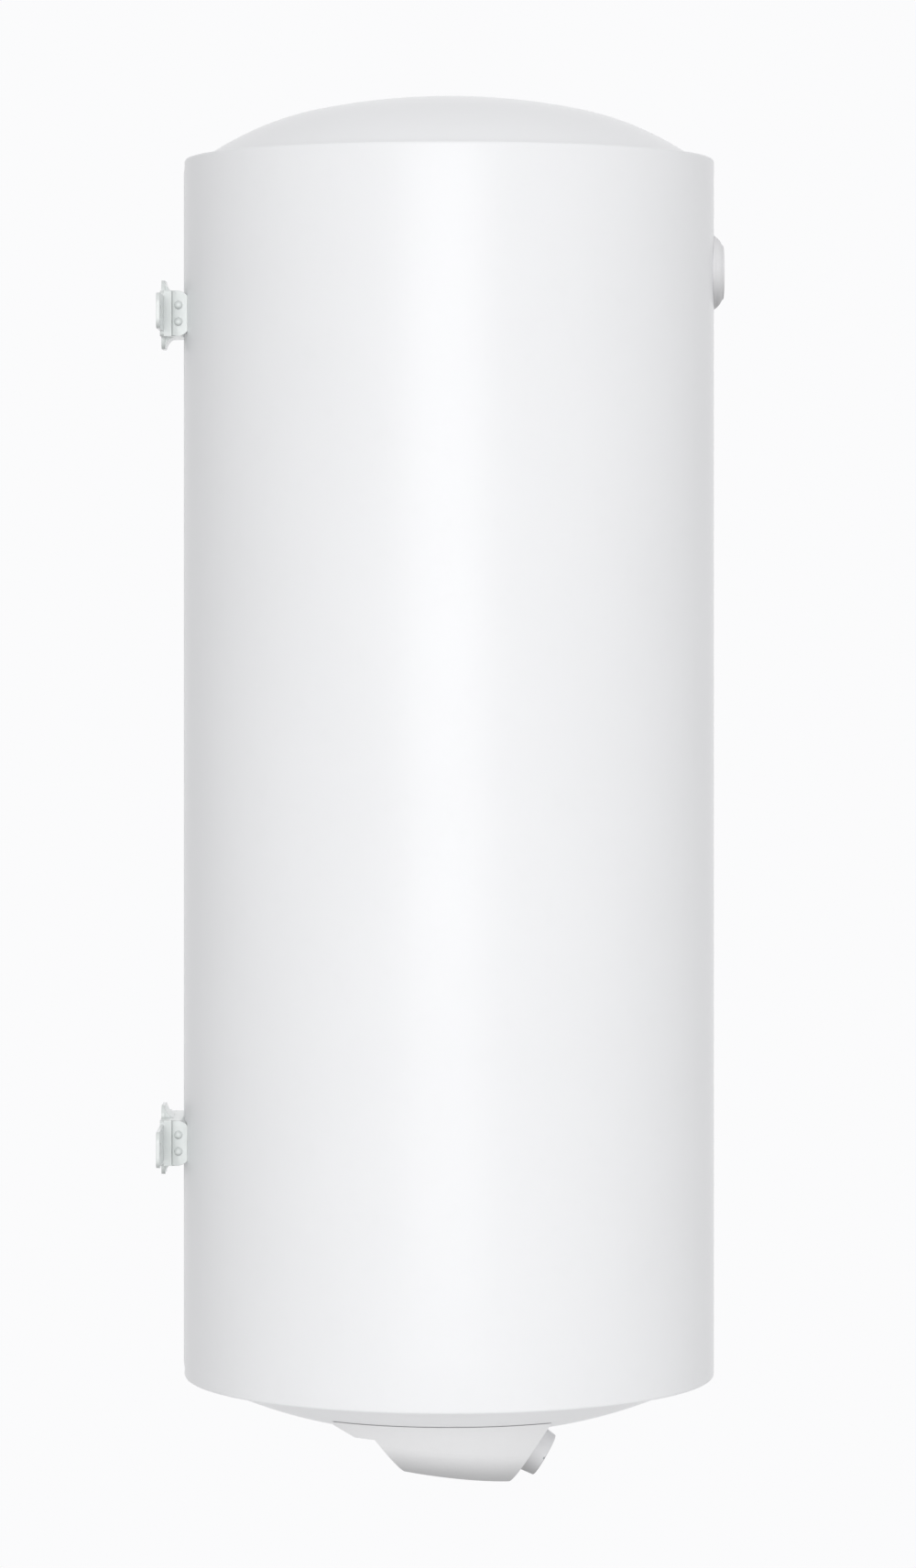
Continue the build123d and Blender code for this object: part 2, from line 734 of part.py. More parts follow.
def make_cover():
    """Moulded cover under the lower cap: slanted control face, screw pockets and a pipe bay."""
    with BuildPart() as service_cover:
        add(cover_solid(0))
        add(bay_solid(0), mode=Mode.SUBTRACT)
        with BuildPart(mode=Mode.PRIVATE) as hollow:
            add(cover_solid(cover_wall))
            add(bay_solid(cover_wall), mode=Mode.SUBTRACT)
        add(hollow.part, mode=Mode.SUBTRACT)
        with BuildSketch(level(screw_floor_z + screw_recess)):
            with Locations((-screw_x, screw_y), (screw_x, screw_y)):
                Circle(screw_head_r + 2.5)
        extrude(amount=60)
        with BuildSketch(level(screw_floor_z - 5)):
            with Locations((-screw_x, screw_y), (screw_x, screw_y)):
                Circle(screw_head_r + 0.3)
        extrude(amount=5 + screw_recess, mode=Mode.SUBTRACT)
        with BuildSketch(level(screw_floor_z)):
            with Locations((-screw_x, screw_y), (screw_x, screw_y)):
                Circle(screw_shank_r)
        extrude(amount=70, mode=Mode.SUBTRACT)
        with BuildSketch(face_plane):
            Circle(spindle_r + 1.5)
            with Locations((-12, 0), (12, 0)):
                Circle(1.5)
            with Locations((lamp_x, 0)):
                Circle(lamp_r)
        extrude(amount=cover_wall + 2, both=True, mode=Mode.SUBTRACT)
        with BuildSketch(gland_plane):
            Circle(gland_thread_r)
        extrude(amount=cover_wall + 2, both=True, mode=Mode.SUBTRACT)
        add(cap_solid(rim_bottom_z, -1, -cover_fit, cap_brim_r), mode=Mode.SUBTRACT)
    save(service_cover, "service_cover")

    with BuildPart() as cover_screws:
        for x in (-screw_x, screw_x):
            foot = Plane(
                origin=(x, axis_y + screw_y, screw_floor_z + screw_recess),
                x_dir=(1, 0, 0),
                z_dir=(0, 0, -1),
            )
            with BuildSketch(foot):
                Circle(screw_head_r)
            extrude(amount=2.4)
            with BuildSketch(foot):
                Circle(screw_shank_r)
            extrude(amount=-screw_length)
            with BuildSketch(foot.offset(2.4)):
                Rectangle(5, 1.1)
                Rectangle(1.1, 5)
            extrude(amount=-1.4, mode=Mode.SUBTRACT)
        fillet(cover_screws.edges().filter_by(GeomType.CIRCLE).group_by(Axis.Z)[0], 0.9)
    save(cover_screws, "cover_screws")


# ---------------------------------------------------------------- thermostat, knob and lamp
gland_plane = Plane(
    origin=(gland_x, axis_y + bay_front, gland_z),
    x_dir=(1, 0, 0),
    z_dir=(0, 1, 0),
)
body_depth = 14.0
body_width = 46.0
body_height = 28.0


def at_face(height, x=0.0, along=0.0):
    """The slanted control face raised outwards by height; its origin may be set off-centre."""
    up_face = face_plane.y_dir
    origin = face_plane.origin + face_plane.z_dir * height
    origin = origin + Vector(1, 0, 0) * x + up_face * along
    return Plane(origin=origin, x_dir=(1, 0, 0), z_dir=knob_out)


def inner_point(x, along):
    """A point on the back of the thermostat's body, as a tuple."""
    return tuple(at_face(-cover_wall - body_depth, x, along).origin)


reset_plane = Plane(
    origin=at_face(-cover_wall - body_depth / 2, body_width / 2).origin,
    x_dir=(0, 1, 0),
    z_dir=(1, 0, 0),
)


def make_thermostat():
    """Capillary thermostat behind the slanted face, its screws, spindle and safety reset."""
    with BuildPart() as thermostat_body:
        with BuildSketch(at_face(-cover_wall)):
            RectangleRounded(body_width, body_height, 2)
        extrude(amount=-body_depth)
        with BuildSketch(at_face(-cover_wall)):
            Circle(spindle_r + 0.05)
        extrude(amount=-9, mode=Mode.SUBTRACT)
        with BuildSketch(at_face(-cover_wall)):
            with Locations((-thermostat_screw_x, 0), (thermostat_screw_x, 0)):
                Circle(1.5)
        extrude(amount=-6, mode=Mode.SUBTRACT)
        with BuildSketch(reset_plane):
            Circle(reset_r + 0.05)
        extrude(amount=-7, mode=Mode.SUBTRACT)
    save(thermostat_body, "thermostat_body")

    with BuildPart() as thermostat_screws:
        with BuildSketch(at_face(0.7)):
            with Locations((-thermostat_screw_x, 0), (thermostat_screw_x, 0)):
                Circle(2.8)
        extrude(amount=-0.7)
        with BuildSketch(at_face(0)):
            with Locations((-thermostat_screw_x, 0), (thermostat_screw_x, 0)):
                Circle(1.5)
        extrude(amount=-cover_wall - 6)
    save(thermostat_screws, "thermostat_screws")

    with BuildPart() as reset_button:
        with BuildSketch(reset_plane):
            Circle(reset_r)
        extrude(amount=4)
        with BuildSketch(reset_plane):
            Circle(reset_r)
        extrude(amount=-4)
        fillet(reset_button.edges().group_by(Axis.X)[-1], 0.6)
    save(reset_button, "reset_button")

    with BuildPart() as thermostat_spindle:
        with BuildSketch(at_face(-cover_wall - 8)):
            Circle(spindle_r)
        extrude(amount=cover_wall + 8 + knob_gap + knob_height - 2.8)
    save(thermostat_spindle, "thermostat_spindle")

    well_floor_z = plate_z - 3
    bulb_top_z = well_top_z - 4
    bulb_length = 110.0
    x, y = well_x, axis_y + well_y
    with BuildPart() as thermostat_capillary:
        with BuildLine() as route:
            FilletPolyline(
                (x, y, bulb_top_z - bulb_length), (x, y, well_floor_z - 12),
                inner_point(well_x, 0), radius=7,
            )
        with BuildSketch(Plane(origin=route.line @ 0, z_dir=route.line % 0)):
            Circle(0.9)
        sweep()
        with BuildSketch(level(bulb_top_z - bulb_length)):
            with Locations((well_x, well_y)):
                Circle(3)
        extrude(amount=bulb_length)
        fillet(thermostat_capillary.edges().group_by(Axis.Z)[-1], 1.5)
    save(thermostat_capillary, "thermostat_capillary")


def knob_form():
    """The knob's filled outer form, drafted and with a rounded front edge."""
    with BuildPart() as form:
        with BuildSketch(at_face(knob_gap)):
            Circle(knob_r)
        extrude(amount=knob_height, taper=knob_draft)
        fillet(form.faces().sort_by(face_axis)[-1].edges(), knob_edge_r)
    return form.part


def pointer_bar():
    """Block that cuts the pointer's channel from near the knob's middle out through its rim."""
    with BuildPart() as bar:
        with BuildSketch(at_face(knob_gap + knob_height - pointer_depth)):
            with Locations((-(pointer_inner + knob_r) / 2, 0)):
                Rectangle(knob_r - pointer_inner, pointer_width)
        extrude(amount=pointer_depth + 1)
    return bar.part


def make_knob():
    """Round thermostat knob, hollow behind, with an inlaid pointer that runs out through its rim."""
    with BuildPart() as control_knob:
        add(knob_form())
        with BuildSketch(at_face(knob_gap)):
            Circle(knob_r - 2.2)
            Circle(6, mode=Mode.SUBTRACT)
        extrude(amount=knob_height - 2.8, taper=knob_draft, mode=Mode.SUBTRACT)
        with BuildSketch(at_face(knob_gap)):
            Circle(spindle_r)
        extrude(amount=knob_height - 2.8, mode=Mode.SUBTRACT)
        add(pointer_bar(), mode=Mode.SUBTRACT)
    save(control_knob, "control_knob")

    with BuildPart() as knob_pointer:
        add(knob_form())
        add(pointer_bar(), mode=Mode.INTERSECT)
    save(knob_pointer, "knob_pointer")


def make_lamp():
    """Pilot lamp beside the knob: a lens through the cover and the lamp behind it."""
    with BuildPart() as pilot_lamp_lens:
        with BuildSketch(at_face(0, lamp_x)):
            Circle(lamp_r + 1)
        extrude(amount=1.2)
        fillet(pilot_lamp_lens.faces().sort_by(face_axis)[-1].edges(), 0.8)
        with BuildSketch(at_face(0, lamp_x)):
            Circle(lamp_r)
        extrude(amount=-cover_wall - 1)
    save(pilot_lamp_lens, "pilot_lamp_lens")

    with BuildPart() as pilot_lamp_body:
        with BuildSketch(at_face(-cover_wall - 1, lamp_x)):
            Circle(lamp_r)
        extrude(amount=-10)
    save(pilot_lamp_body, "pilot_lamp_body")


face_axis = Axis(face_plane.origin, knob_out)
thermostat_screw_x = 12.0
reset_r = 2.5
pointer_inner = 9.0         # pointer's inner end, from the knob's axis
pointer_width = 2.0
pointer_depth = 1.6
knob_draft = 7
knob_edge_r = 1.2

# ---------------------------------------------------------------- supply connections
block_x = 32.0
block_width = 36.0
block_y = (-1.5, bay_front - cover_wall)
block_z = (rim_bottom_z - 67.5, rim_bottom_z - 53.5)
lead_r = 1.2


def below_rim(x, behind, below):
    """A point given from the heater axis and the lower rim."""
    return (x, axis_y + behind, rim_bottom_z - below)


def make_lead(label, points, radius):
    """A short insulated lead along a rounded route."""
    with BuildPart() as lead:
        with BuildLine() as route:
            FilletPolyline(*points, radius=radius)
        with BuildSketch(Plane(origin=route.line @ 0, z_dir=route.line % 0)):
            Circle(lead_r)
        sweep()
    save(lead, label)


def make_supply():
    """Terminal block, cable gland and the leads between the electrical pieces."""
    with BuildPart() as terminal_block:
        with BuildSketch(level(block_z[0])):
            with Locations((block_x, sum(block_y) / 2)):
                Rectangle(block_width, block_y[1] - block_y[0])
        extrude(amount=block_z[1] - block_z[0])
        chamfer(terminal_block.edges().filter_by(Axis.X).group_by(Axis.Y)[0], 3)
        with BuildSketch(level(block_z[0])):
            with Locations(*[(block_x + dx, sum(block_y) / 2) for dx in terminal_steps]):
                Circle(terminal_screw_r)
        extrude(amount=5, mode=Mode.SUBTRACT)
    save(terminal_block, "terminal_block")

    with BuildPart() as terminal_screws:
        with BuildSketch(level(block_z[0] + 5)):
            with Locations(*[(block_x + dx, sum(block_y) / 2) for dx in terminal_steps]):
                Circle(terminal_screw_r)
        extrude(amount=-3)
        with BuildSketch(level(block_z[0] + 2)):
            with Locations(*[(block_x + dx, sum(block_y) / 2) for dx in terminal_steps]):
                Rectangle(4, 0.8)
        extrude(amount=0.8, mode=Mode.SUBTRACT)
    save(terminal_screws, "terminal_screws")

    with BuildPart() as cable_gland:
        with BuildSketch(gland_plane):
            RegularPolygon(8, 6, major_radius=False)
        extrude(amount=4)
        with BuildSketch(gland_plane.offset(4)):
            Circle(7.2)
        extrude(amount=6)
        fillet(cable_gland.edges().group_by(Axis.Y)[-1], 2.2)
        with BuildSketch(gland_plane):
            Circle(gland_thread_r)
        extrude(amount=-cover_wall - 6)
        with BuildSketch(gland_plane.offset(-cover_wall - 6)):
            Circle(cable_r)
        extrude(amount=30, mode=Mode.SUBTRACT)
    save(cable_gland, "cable_gland")

    with BuildPart() as gland_nut:
        with BuildSketch(gland_plane.offset(-cover_wall)):
            RegularPolygon(8, 6, major_radius=False)
            Circle(gland_thread_r, mode=Mode.SUBTRACT)
        extrude(amount=-3)
    save(gland_nut, "gland_nut")

    block_front = block_y[0]
    lead_z = -(sum(block_z) / 2 - rim_bottom_z)
    tab_below = rim_bottom_z - (plate_z - 16)
    make_lead(
        "live_lead",
        [
            below_rim(block_x - 12, block_front, lead_z), below_rim(20, -16, lead_z),
            below_rim(0, -22, 60), below_rim(-18, -36, 46.8), inner_point(-18, -4),
        ],
        4,
    )
    make_lead(
        "element_lead",
        [below_rim(-leg_x, leg_y, tab_below), below_rim(-leg_x, leg_y, 44.6), inner_point(-leg_x, 2)],
        2.5,
    )
    make_lead(
        "neutral_lead",
        [
            below_rim(block_x, block_front, lead_z), below_rim(block_x, -20, lead_z),
            below_rim(30, -36, 57), below_rim(leg_x, leg_y, 51), below_rim(leg_x, leg_y, tab_below),
        ],
        4,
    )
    make_lead(
        "earth_lead",
        [
            below_rim(block_x + 12, block_front, lead_z), below_rim(block_x + 12, -12, lead_z),
            below_rim(10, -20, 51), below_rim(-well_x, well_y, 46),
            below_rim(-well_x, well_y, rim_bottom_z - (plate_z - 12)),
        ],
        4,
    )


terminal_steps = (-12.0, 0.0, 12.0)
terminal_screw_r = 2.8

# ---------------------------------------------------------------- thermometer
gauge_front = casing_r + gauge_proud
gauge_lip = 1.3
gauge_window_r = 18.0
dial_h = casing_r + 1.0
lens_h = gauge_front - gauge_lip - 1.5
gauge_axis = Axis((0, axis_y, gauge_z), (0, -1, 0))


def gauge_plane(height):
    """A plane facing forwards at a distance in front of the heater axis."""
    return Plane(origin=(0, axis_y - height, gauge_z), x_dir=(1, 0, 0), z_dir=(0, -1, 0))


def make_gauge():
    """Dial thermometer let into the front of the casing."""
    with BuildPart() as thermometer_case:
        with BuildSketch(gauge_plane(gauge_case_back)):
            Circle(gauge_case_r)
        extrude(amount=lens_h - gauge_case_back)
        with BuildSketch(gauge_plane(gauge_case_back + 1.2)):
            Circle(gauge_case_r - 4)
        extrude(amount=gauge_front, mode=Mode.SUBTRACT)
        with BuildSketch(gauge_plane(dial_h)):
            Circle(gauge_case_r - 1.2)
        extrude(amount=gauge_front, mode=Mode.SUBTRACT)
        with BuildSketch(gauge_plane(gauge_case_back)):
            Circle(gauge_stem_r)
        extrude(amount=3, mode=Mode.SUBTRACT)
    save(thermometer_case, "thermometer_case")

    with BuildPart() as thermometer_bezel:
        with BuildSketch(Plane(origin=(0, axis_y, gauge_z), x_dir=(1, 0, 0), z_dir=(0, 0, 1))) as ring:
            with BuildLine():
                Polyline(
                    (gauge_case_r, -casing_r + 5),
                    (gauge_base_r, -casing_r + 5),
                    (gauge_base_r, -casing_r - 0.6),
                    (gauge_face_r, -gauge_front),
                    (gauge_window_r, -gauge_front),
                    (gauge_window_r, -gauge_front + gauge_lip),
                    (gauge_case_r, -gauge_front + gauge_lip),
                    close=True,
                )
            make_face()
            rim = ring.vertices().filter_by(lambda v: abs(v.X - gauge_face_r) < 0.01)
            fillet(rim, 2.0)
        revolve(axis=gauge_axis)
        with BuildSketch(level(gauge_z - 60)):
            Circle(casing_r)
        extrude(amount=120, mode=Mode.SUBTRACT)
    save(thermometer_bezel, "thermometer_bezel")

    with BuildPart() as thermometer_dial:
        with BuildSketch(gauge_plane(dial_h)):
            Circle(gauge_case_r - 1.3)
            Circle(pointer_spindle_r + 0.05, mode=Mode.SUBTRACT)
        extrude(amount=0.6)
    save(thermometer_dial, "thermometer_dial")

    with BuildPart() as thermometer_pointer:
        with BuildSketch(gauge_plane(dial_h + 2)):
            with BuildLine():
                Polyline((-1.3, -5), (1.3, -5), (0.9, 0), (0.3, 14.5), (-0.3, 14.5), (-0.9, 0), close=True)
            make_face()
            Circle(2.4)
        extrude(amount=0.5)
        with BuildSketch(gauge_plane(dial_h + 2)):
            Circle(pointer_spindle_r)
        extrude(amount=-5)
    save(thermometer_pointer, "thermometer_pointer")

    with BuildPart() as thermometer_lens:
        with BuildSketch(gauge_plane(lens_h)):
            Circle(gauge_case_r)
        extrude(amount=1.5)
    save(thermometer_lens, "thermometer_lens")

    with BuildPart() as thermometer_stem:
        with BuildSketch(gauge_plane(tank_r - 5)):
            Circle(gauge_stem_r)
        extrude(amount=gauge_case_back + 3 - tank_r + 5)
        with BuildSketch(level(gauge_z - 20)):
            Circle(tank_r)
        extrude(amount=40, mode=Mode.SUBTRACT)
    save(thermometer_stem, "thermometer_stem")


gauge_stem_r = 3.0
pointer_spindle_r = 0.8

make_casing()
make_caps()
make_tank()
make_foam()
make_brackets("upper", 0)
make_brackets("lower", lower_holes_z)
make_flange()
make_element()
make_pipes()
make_cover()
make_thermostat()
make_knob()
make_lamp()
make_supply()
make_gauge()
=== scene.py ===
"""Blender scene of the wall-hung water heater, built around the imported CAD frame.  Metres."""
import json
import math

import bmesh
import bpy
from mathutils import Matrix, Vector


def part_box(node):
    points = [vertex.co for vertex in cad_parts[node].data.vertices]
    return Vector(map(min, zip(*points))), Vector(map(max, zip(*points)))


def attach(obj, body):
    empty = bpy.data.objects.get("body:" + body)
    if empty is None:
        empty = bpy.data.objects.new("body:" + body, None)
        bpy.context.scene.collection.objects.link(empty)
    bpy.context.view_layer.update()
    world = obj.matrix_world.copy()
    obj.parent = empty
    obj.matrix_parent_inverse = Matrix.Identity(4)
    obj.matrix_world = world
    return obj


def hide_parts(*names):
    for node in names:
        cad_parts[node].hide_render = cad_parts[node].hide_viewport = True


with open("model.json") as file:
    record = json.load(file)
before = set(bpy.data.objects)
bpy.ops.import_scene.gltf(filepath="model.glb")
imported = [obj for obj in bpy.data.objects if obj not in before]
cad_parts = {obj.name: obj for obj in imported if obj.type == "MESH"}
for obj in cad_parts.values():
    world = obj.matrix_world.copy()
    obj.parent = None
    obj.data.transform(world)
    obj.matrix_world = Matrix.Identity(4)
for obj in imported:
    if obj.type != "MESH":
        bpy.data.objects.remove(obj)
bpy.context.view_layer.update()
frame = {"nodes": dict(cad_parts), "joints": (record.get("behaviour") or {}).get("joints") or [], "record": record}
nodes = frame["nodes"]
MM = 0.001

# ---------------------------------------------------------------- places read from the frame
casing_low, casing_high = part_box("outer_casing")
casing_r = (casing_high.x - casing_low.x) / 2
axis = Vector((0.0, (casing_low.y + casing_high.y) / 2, 0.0))
rim_top = casing_high.z
rim_bottom = casing_low.z
top_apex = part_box("top_cap")[1].z
bottom_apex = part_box("bottom_cap")[0].z
bezel_low, bezel_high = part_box("thermometer_bezel")
gauge_z = (bezel_low.z + bezel_high.z) / 2
gauge_front = bezel_low.y
knob_joint = next(j for j in frame["joints"] if j["name"] == "knob_turn")
knob_foot = Vector(knob_joint["pos_m"])
knob_out = -Vector(knob_joint["axis"]).normalized()


# ---------------------------------------------------------------- camera
def make_camera():
    """Level camera square to the heater's side, the wall on its left, with a vertical shift to frame it."""
    distance = 4.716
    towards_front = 7.4 * MM
    below_rim = 341.2 * MM
    camera = bpy.data.cameras.new("camera")
    camera.sensor_width = 36.0
    camera.lens = 127.2
    camera.shift_y = -0.142
    camera.clip_end = 100.0
    holder = bpy.data.objects.new("camera", camera)
    bpy.context.scene.collection.objects.link(holder)
    holder.location = (-distance, axis.y - towards_front, rim_top - below_rim)
    holder.rotation_euler = (math.radians(90), 0, math.radians(-90))
    bpy.context.scene.camera = holder


make_camera()


# ---------------------------------------------------------------- materials
def new_material(name):
    """An empty node material: its tree, its shader and a function that adds and wires a node."""
    material = bpy.data.materials.new(name)
    material.use_nodes = True
    tree = material.node_tree
    shader = tree.nodes["Principled BSDF"]

    def add(kind, links=(), **settings):
        node = tree.nodes.new(kind)
        for key, value in settings.items():
            if hasattr(node, key):
                setattr(node, key, value)
            else:
                node.inputs[key.replace("_", " ")].default_value = value
        for source, target in links:
            tree.links.new(source, node.inputs[target])
        return node

    return material, tree, shader, add


def surface(name, colour, roughness, metallic=0.0, mottle=0.03, grain=250.0, bump=0.02,
            bump_distance=0.0002, stretch=(1, 1, 1), coat=0.0, specular=0.5, grime=0.0, edge=0.0,
            painted_shade=0.0, painted_shade_from=-0.45):
    """A layered procedural surface: drifting tone, fine grain in roughness and bump, faint grime.

    edge is the radius to which sharp edges are shaded round.  The last two arguments are painted shade:
    the first is how much the colour of faces that look straight down is darkened, standing in for shade,
    fading out where the normal's upward part reaches the second.
    """
    rough_spread = 0.06
    grime_colour = (0.25, 0.23, 0.2)
    material, tree, shader, add = new_material(name)
    place = add("ShaderNodeTexCoord")
    scaled = add("ShaderNodeMapping", [(place.outputs["Object"], "Vector")])
    scaled.inputs["Scale"].default_value = stretch
    broad = add("ShaderNodeTexNoise", [(scaled.outputs["Vector"], "Vector")], Scale=9.0, Detail=3.0)
    fine = add("ShaderNodeTexNoise", [(scaled.outputs["Vector"], "Vector")], Scale=grain, Detail=4.0)
    speck = add("ShaderNodeTexNoise", [(scaled.outputs["Vector"], "Vector")],
                Scale=grain * 0.12, Detail=6.0)
    tone = add("ShaderNodeValToRGB", [(broad.outputs["Fac"], "Fac")])
    low = [c * (1 - mottle) for c in colour]
    high = [min(1.0, c * (1 + mottle * 0.6)) for c in colour]
    tone.color_ramp.elements[0].position = 0.3
    tone.color_ramp.elements[0].color = (*low, 1)
    tone.color_ramp.elements[1].position = 0.7
    tone.color_ramp.elements[1].color = (*high, 1)
    dirt = add("ShaderNodeMapRange", [(speck.outputs["Fac"], "Value")])
    dirt.inputs["From Min"].default_value = 0.55
    dirt.inputs["From Max"].default_value = 0.8
    dirt.inputs["To Max"].default_value = grime
    mixed = add("ShaderNodeMix", [(dirt.outputs["Result"], 0)], data_type="RGBA")
    tree.links.new(tone.outputs["Color"], mixed.inputs[6])
    mixed.inputs[7].default_value = (*grime_colour, 1)
    paint = mixed.outputs[2]
    # Painted shade: the base colour is darkened on faces whose normal points down, standing in for shade under
    # things.
    if painted_shade:
        facing = add("ShaderNodeNewGeometry")
        split = add("ShaderNodeSeparateXYZ", [(facing.outputs["Normal"], 0)])
        shade = add("ShaderNodeMapRange", [(split.outputs["Z"], "Value")])
        shade.interpolation_type = "SMOOTHSTEP"
        shade.inputs["From Min"].default_value = -1.0
        shade.inputs["From Max"].default_value = painted_shade_from
        shade.inputs["To Min"].default_value = 1 - painted_shade
        shade.inputs["To Max"].default_value = 1.0
        painted_shade_colour = add("ShaderNodeVectorMath", [(paint, 0)], operation="SCALE")
        tree.links.new(shade.outputs["Result"], painted_shade_colour.inputs["Scale"])
        paint = painted_shade_colour.outputs["Vector"]
    tree.links.new(paint, shader.inputs["Base Color"])
    rough = add("ShaderNodeMapRange", [(fine.outputs["Fac"], "Value")])
    rough.inputs["To Min"].default_value = max(0.02, roughness - rough_spread)
    rough.inputs["To Max"].default_value = min(1.0, roughness + rough_spread)
    tree.links.new(rough.outputs["Result"], shader.inputs["Roughness"])
    relief = add("ShaderNodeBump", [(fine.outputs["Fac"], "Height")], Strength=bump,
                 Distance=bump_distance)
    if edge:
        rounded = add("ShaderNodeBevel", Radius=edge)
        rounded.samples = 4
        tree.links.new(rounded.outputs["Normal"], relief.inputs["Normal"])
    tree.links.new(relief.outputs["Normal"], shader.inputs["Normal"])
    shader.inputs["Metallic"].default_value = metallic
    shader.inputs["Specular IOR Level"].default_value = specular
    shader.inputs["Coat Weight"].default_value = coat
    shader.inputs["Coat Roughness"].default_value = 0.12
    return material


def clear_material(name, colour, roughness, alpha):
    """Clear plastic or glass with a faint haze."""
    material, tree, shader, add = new_material(name)
    place = add("ShaderNodeTexCoord")
    haze = add("ShaderNodeTexNoise", [(place.outputs["Object"], "Vector")], Scale=180.0, Detail=3.0)
    rough = add("ShaderNodeMapRange", [(haze.outputs["Fac"], "Value")])
    rough.inputs["To Min"].default_value = roughness
    rough.inputs["To Max"].default_value = roughness + 0.04
    tree.links.new(rough.outputs["Result"], shader.inputs["Roughness"])
    shader.inputs["Base Color"].default_value = (*colour, 1)
    shader.inputs["Alpha"].default_value = alpha
    shader.inputs["IOR"].default_value = 1.46
    shader.inputs["Specular IOR Level"].default_value = 0.6
    return material


def make_materials():
    """One Blender material for each slot of the record."""
    brushed = dict(metallic=1.0, stretch=(1, 1, 14), mottle=0.06, grime=0.12)
    made = {
        "white_enamel": surface("white_enamel", (0.90, 0.905, 0.915), 0.34, mottle=0.008, grain=420,
                                bump=0.05, bump_distance=0.0001, specular=0.35, grime=0.012),
        # bracket_enamel and white_plastic get painted shade: their colour is darkened on faces that look down.
        "bracket_enamel": surface("bracket_enamel", (0.74, 0.772, 0.76), 0.3, mottle=0.03, grain=320,
                                  bump=0.10, bump_distance=0.0001, grime=0.05, coat=0.15, edge=0.0007,
                                  painted_shade=0.35, painted_shade_from=-0.1),
        "white_plastic": surface("white_plastic", (0.86, 0.86, 0.865), 0.45, mottle=0.01, grain=900,
                                 bump=0.12, bump_distance=0.0001, grime=0.02, specular=0.3,
                                 edge=0.0004, painted_shade=0.4, painted_shade_from=-0.6),
        "grey_plastic": surface("grey_plastic", (0.42, 0.44, 0.46), 0.5, grain=700, bump=0.15,
                                grime=0.05),
        "black_plastic": surface("black_plastic", (0.03, 0.03, 0.033), 0.45, grain=700, bump=0.12),
        "red_plastic": surface("red_plastic", (0.62, 0.03, 0.025), 0.3, grain=500, bump=0.06),
        "blue_plastic": surface("blue_plastic", (0.02, 0.09, 0.5), 0.3, grain=500, bump=0.06),
        "steel": surface("steel", (0.58, 0.58, 0.58), 0.34, grain=260, bump=0.1, **brushed),
        "zinc_steel": surface("zinc_steel", (0.66, 0.68, 0.70), 0.3, metallic=1.0, mottle=0.08,
                              grain=340, bump=0.12, grime=0.1),
        "tank_enamel": surface("tank_enamel", (0.03, 0.08, 0.2), 0.2, grain=300, bump=0.08, coat=0.4),
        "foam": surface("foam", (0.78, 0.64, 0.32), 0.9, mottle=0.12, grain=380, bump=0.6,
                        bump_distance=0.001),
        "copper": surface("copper", (0.80, 0.38, 0.22), 0.3, grain=280, bump=0.1, **brushed),
        "brass": surface("brass", (0.76, 0.56, 0.24), 0.28, grain=280, bump=0.08, **brushed),
        "magnesium": surface("magnesium", (0.52, 0.52, 0.52), 0.6, metallic=1.0, mottle=0.15,
                             grain=200, bump=0.3, grime=0.2),
        "rubber": surface("rubber", (0.02, 0.02, 0.02), 0.75, grain=600, bump=0.25),
        "dial_white": surface("dial_white", (0.86, 0.86, 0.84), 0.6, mottle=0.01, grain=900, bump=0.04),
        "clear": clear_material("clear", (0.95, 0.97, 0.98), 0.04, 0.14),
        "lamp_red": surface("lamp_red", (0.75, 0.04, 0.02), 0.14, grain=300, bump=0.03, coat=0.5),
        "brown_wire": surface("brown_wire", (0.16, 0.07, 0.03), 0.4, grain=500, bump=0.08),
        "blue_wire": surface("blue_wire", (0.02, 0.10, 0.42), 0.4, grain=500, bump=0.08),
        "green_wire": surface("green_wire", (0.12, 0.42, 0.06), 0.4, grain=500, bump=0.08),
    }
    return made


materials = make_materials()
# A copy of white_plastic with stronger painted shade: faces that look down are darkened further in their colour.
# The thermometer bezel and the knob use it.
painted_shade_plastic = surface("white_plastic_painted_shade", (0.84, 0.84, 0.85), 0.42, mottle=0.01, grain=900,
                         bump=0.12, bump_distance=0.0001, grime=0.03, specular=0.3, edge=0.0004,
                         painted_shade=0.55, painted_shade_from=0.15)
slot_of = {s["node"]: s["material_slot"] for s in frame["record"]["subparts"]}
for node_name, node in nodes.items():
    for index in range(len(node.data.materials)):
        node.data.materials[index] = materials[slot_of[node_name]]
# The knob takes the white plastic copy with stronger painted shade on faces that look down.
nodes["control_knob"].data.materials[0] = painted_shade_plastic


# ---------------------------------------------------------------- mesh helpers
def finish_piece(mesh_data, name, body, slot, replaced=(), smooth_angle=32, material=None):
    """Turn a bmesh into a named, smooth-shaded object that rides on a body."""
    mesh = bpy.data.meshes.new(name)
    bmesh.ops.recalc_face_normals(mesh_data, faces=mesh_data.faces)
    mesh_data.to_mesh(mesh)
    mesh_data.free()
    piece = bpy.data.objects.new(name, mesh)
    bpy.context.scene.collection.objects.link(piece)
    mesh.materials.append(material or materials[slot])
    mesh.shade_smooth()
    mesh.set_sharp_from_angle(angle=math.radians(smooth_angle))
    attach(piece, body)
    if replaced:
        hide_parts(*replaced)
    return piece


